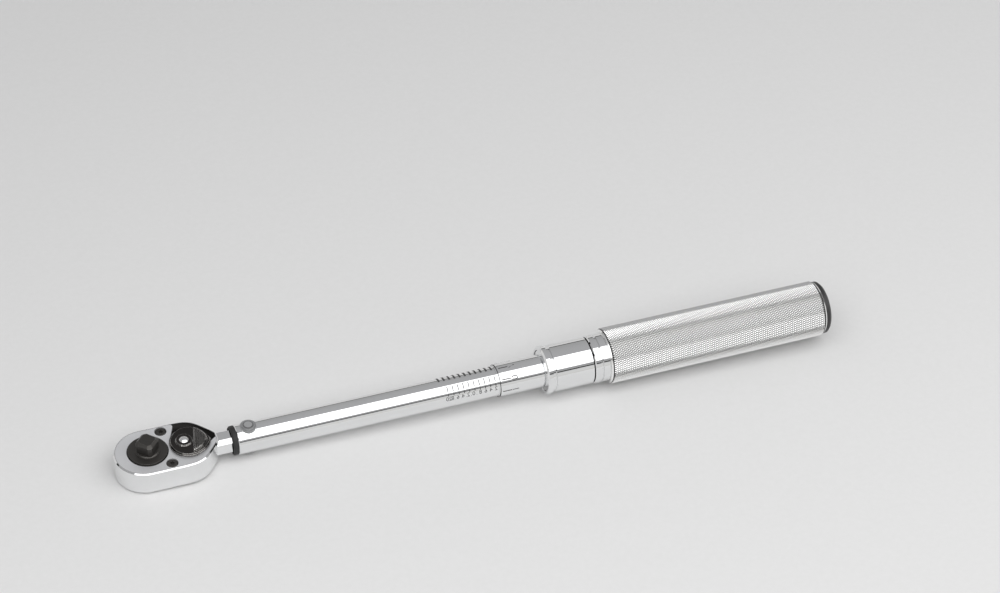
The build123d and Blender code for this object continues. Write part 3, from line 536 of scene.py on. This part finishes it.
# %% Black fill for the engraved marks
INK = finish_material("finish_engraved_black", GREY(0.03), GREY(0.16), metal=0.0, rough=(0.5, 0.62),
                      edge=(0.02, 0.5), grain=(9000.0, 0.6), bump=0.1, second=GREY(0.07))
INK_GREY = finish_material("finish_engraved_grey", GREY(0.16), GREY(0.3), metal=0.3, rough=(0.45, 0.6),
                           edge=(0.02, 0.5), grain=(9000.0, 0.6), bump=0.1, second=GREY(0.12))

# %% Numbers are text turned to mesh, then wrapped round the barrel
def wrapped_text(words, size, x, turn, barrel, spin=0.0):
    """A number laid on a barrel: centred at x, at the angle turn, spun about its own centre."""
    curve = bpy.data.curves.new("digits", "FONT")
    curve.body, curve.size, curve.extrude = words, size, 0.01 * MM
    curve.align_x, curve.align_y = "CENTER", "CENTER"
    curve.resolution_u = 3
    host = bpy.data.objects.new("digits", curve)
    bpy.context.scene.collection.objects.link(host)
    graph = bpy.context.evaluated_depsgraph_get()
    mesh = bpy.data.meshes.new_from_object(host.evaluated_get(graph), depsgraph=graph)
    bpy.data.objects.remove(host)
    shape = bmesh.new()
    shape.from_mesh(mesh)
    bmesh.ops.remove_doubles(shape, verts=shape.verts, dist=1e-7)
    bmesh.ops.transform(shape, matrix=Matrix.Rotation(spin, 4, "Z"), verts=shape.verts)
    for vert in shape.verts:
        along_x, across, lift = vert.co
        reach = barrel + lift
        around = turn + across / barrel
        vert.co = (x + along_x, reach * math.cos(around), AXIS_Z + reach * math.sin(around))
    bmesh.ops.recalc_face_normals(shape, faces=shape.faces)
    return shape


def joined(name, shapes, extra, material, body):
    """Joins number shapes and mark objects into one piece that rides on a body."""
    whole = bmesh.new()
    for shape in shapes:
        part = bpy.data.meshes.new("part")
        shape.to_mesh(part)
        whole.from_mesh(part)
    for piece in extra:
        whole.from_mesh(piece.data)
        bpy.data.objects.remove(piece)
    mesh = bpy.data.meshes.new(name)
    whole.to_mesh(mesh)
    mesh.materials.clear()
    mesh.materials.append(material)
    made = bpy.data.objects.new(name, mesh)
    bpy.context.scene.collection.objects.link(made)
    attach(made, body)
    print(name, "has", len(mesh.polygons), "faces")
    return made


# %% The tube's scale
SCALE_COUNT, SCALE_PITCH, SCALE_END = 10, 2.9 * MM, 185.4 * MM
SCALE_START = SCALE_END - (SCALE_COUNT - 1) * SCALE_PITCH
TOP_NUMBER, NUMBER_STEP = 20, 2
NUMBER_SIZE, NUMBER_TURN = 3.3 * MM, math.radians(164)
PROUD = 0.02 * MM


def tube_marks(label, turn_degrees, width, arc, material, count=SCALE_COUNT):
    """One row of marks on the tube, counted back from the sleeve."""
    return run_tree(mark_tree, label, material, Count=count, Start=SCALE_END - (count - 1) * SCALE_PITCH,
                    Pitch=SCALE_PITCH, Turn=math.radians(turn_degrees), Width=width * MM, Proud=PROUD,
                    **{"Arc length": arc * MM, "Barrel radius": TUBE_R, "Axis height": AXIS_Z})


far_marks = tube_marks("far_marks", 64.0, 1.0, 6.0, INK, count=11)
thin_marks = tube_marks("thin_marks", 125.0, 0.5, 3.2, INK)
near_marks = tube_marks("near_marks", 148.0, 0.45, 1.4, INK)
numbers = [wrapped_text(str(TOP_NUMBER - NUMBER_STEP * i), NUMBER_SIZE, SCALE_START + i * SCALE_PITCH,
                        NUMBER_TURN, TUBE_R, math.pi) for i in range(SCALE_COUNT)]
joined("tube_scale", numbers, [far_marks, near_marks], INK, "tube")
joined("tube_scale_fine", [], [thin_marks], INK_GREY, "tube")

# %% The sleeve's ring of marks
SLEEVE_MARKS = 8
FIRST_TURN = 136.0         # where the sleeve's zero stands, in degrees round the handle
SLEEVE_FRONT = sleeve_box[0].x
LINE_X, DIGIT_X, EDGE_X = (SLEEVE_FRONT + x * MM for x in (4.4, 9.2, 0.75))


def sleeve_line(label, x, turn, width, arc, cuts):
    """One line on the sleeve: width is along the handle, arc is round it."""
    return run_tree(mark_tree, label, INK, Count=1, Start=x, Pitch=0.0, Turn=turn, Width=width, Proud=PROUD,
                    Cuts=cuts, **{"Arc length": arc, "Barrel radius": SLEEVE_R, "Axis height": AXIS_Z})


ring_marks, ring_numbers = [], []
for i in range(SLEEVE_MARKS):
    turn = math.radians(FIRST_TURN + 360.0 / SLEEVE_MARKS * i)
    ring_marks.append(sleeve_line("ring_mark", LINE_X, turn, 5.0 * MM, 0.55 * MM, 9))
    ring_numbers.append(wrapped_text(str(i), 5.2 * MM, DIGIT_X, turn, SLEEVE_R, math.pi / 2))
# Painted reflection: a black line round the sleeve's front edge stands for the dark room seen in its rounded
# rim.
painted_edge_reflection = sleeve_line("painted_edge_reflection", EDGE_X, 0.0, 0.4 * MM, 2 * math.pi * SLEEVE_R, 97)
joined("sleeve_scale", ring_numbers, ring_marks + [painted_edge_reflection], INK, "handle")

# %% [markdown]
# ## The springs
# Three springs are squeezed when the wrench is worked: the main spring as the handle is screwed in,
# the lock spring under the lock ring, and the little one behind the socket ball.  Each is shown as a
# copy of its solid's own coils, riding on its body.

# %% The springs, copied to ride on their bodies
def live_spring(name, body):
    """Shows a spring as a copy of its solid's coils that rides on a body."""
    solid = frame["nodes"][name]
    spring = bpy.data.objects.new(name + "_coil", solid.data.copy())
    bpy.context.scene.collection.objects.link(spring)
    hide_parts(name)
    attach(spring, body)
    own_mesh(spring)


live_spring("main_spring", "tube")
live_spring("lock_spring", "handle")
live_spring("detent_spring", "drive")

# %% [markdown]
# ## The studio
# Chrome has no colour of its own: it shows the room.  A long overhead softbox gives the bright
# stripe that runs down the barrel, the dim room behind gives the grey one, and the pale floor
# fills the underside.  The floor tilts a little because a wrench laid down rests on the grip's
# rim and on the edge of its head, which hangs higher.

# %% The floor, resting under the grip's rim and the head's front edge
head_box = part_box("head_casing")
grip_rest = Vector((GRIP_X0 + END_BEVEL, 0.0, grip_box[0].z))
HEAD_BEVEL = 1.5 * MM
head_rest = Vector((head_box[0].x + HEAD_BEVEL, 0.0, head_box[0].z))
slope = math.atan2(head_rest.z - grip_rest.z, grip_rest.x - head_rest.x)
FLOOR_HALF = 4.0
floor_mesh = bpy.data.meshes.new("floor")
corners = []
for sx, sy in ((-1, -1), (1, -1), (1, 1), (-1, 1)):
    x = grip_rest.x + sx * FLOOR_HALF
    corners.append((x, sy * FLOOR_HALF, grip_rest.z - (x - grip_rest.x) * math.tan(slope) - 0.05 * MM))
floor_mesh.from_pydata(corners, [], [(0, 1, 2, 3)])
floor = bpy.data.objects.new("floor", floor_mesh)
bpy.context.scene.collection.objects.link(floor)
print(f"floor slopes {math.degrees(slope):.2f} degrees")

# %% The floor's paper
paper = bpy.data.materials.new("floor_paper")
paper.use_nodes = True
tree = paper.node_tree
where = node(tree, "ShaderNodeTexCoord").outputs["Object"]
fibres = node(tree, "ShaderNodeTexNoise", {"Vector": where, "Scale": 350.0, "Detail": 4.0})
tint = colour_mix(tree, fibres.outputs["Fac"], GREY(0.74, 0.74, 0.735), GREY(0.78, 0.78, 0.778))
tree.links.new(tint, tree.nodes["Principled BSDF"].inputs["Base Color"])
tree.nodes["Principled BSDF"].inputs["Roughness"].default_value = 0.8
floor_mesh.materials.append(paper)

# %% Lights
def softbox(name, centre, aim, size, power):
    """A rectangular area light at centre, facing aim."""
    data = bpy.data.lights.new(name, "AREA")
    data.shape, data.size, data.size_y = "RECTANGLE", size[0], size[1]
    data.energy = power
    lamp = bpy.data.objects.new(name, data)
    lamp.location = centre
    lamp.rotation_mode = "QUATERNION"
    lamp.rotation_quaternion = (Vector(aim) - Vector(centre)).to_track_quat("-Z", "Y")
    bpy.context.scene.collection.objects.link(lamp)
    return lamp


subject = Vector((0.18, 0.0, AXIS_Z))
softbox("overhead", (0.45, -0.50, 0.95), subject + Vector((0.27, 0.0, 0.0)), (2.6, 1.25), 15.0)

# %% The room behind the lights
world = bpy.data.worlds.new("room")
bpy.context.scene.world = world
world.use_nodes = True
tree = world.node_tree
back = tree.nodes["Background"]
sky = node(tree, "ShaderNodeTexCoord").outputs["Generated"]
height = node(tree, "ShaderNodeSeparateXYZ", {0: sky}).outputs[2]
ramp = node(tree, "ShaderNodeValToRGB", {0: height})
ramp.color_ramp.elements[0].position, ramp.color_ramp.elements[0].color = 0.0, GREY(0.82, 0.81, 0.79)
ramp.color_ramp.elements[1].position, ramp.color_ramp.elements[1].color = 1.0, GREY(0.5, 0.5, 0.51)
for spot, shade in ((0.27, 0.78), (0.28, 0.03), (0.345, 0.03), (0.355, 0.42)):
    ramp.color_ramp.elements.new(spot).color = GREY(shade)
tree.links.new(ramp.outputs[0], back.inputs[0])
back.inputs[1].default_value = 0.88
print("room and lights ready")

# %% [markdown]
# ## The camera
# The view is a long-lens three-quarter shot from the head's side, a little rolled, so the
# handle climbs gently to the right.

# %% Camera
AZIMUTH, ELEVATION, ROLL = (math.radians(v) for v in (-21.18, 42.85, 2.36))
LOOK_X, DISTANCE = 0.190, 1.616
SHIFT_RIGHT, SHIFT_UP = 0.0002, 0.0438
backward = Vector((math.sin(AZIMUTH) * math.cos(ELEVATION), -math.cos(AZIMUTH) * math.cos(ELEVATION),
                   math.sin(ELEVATION)))
right = Vector((math.cos(AZIMUTH), math.sin(AZIMUTH), 0.0))
upward = backward.cross(right)
rolled_right = right * math.cos(ROLL) + upward * math.sin(ROLL)
rolled_up = upward * math.cos(ROLL) - right * math.sin(ROLL)
lens = bpy.data.cameras.new("camera")
lens.lens, lens.sensor_width = 110.7, 36.0
lens.clip_start, lens.clip_end = 0.05, 50.0
camera = bpy.data.objects.new("camera", lens)
stand = (Vector((LOOK_X, 0.0, AXIS_Z)) + backward * DISTANCE + rolled_right * SHIFT_RIGHT
         + rolled_up * SHIFT_UP)
camera.matrix_world = (Matrix.Translation(stand)
                       @ Matrix((rolled_right, rolled_up, backward)).transposed().to_4x4())
bpy.context.scene.collection.objects.link(camera)
bpy.context.scene.camera = camera
bpy.context.scene.view_settings.view_transform = "Standard"
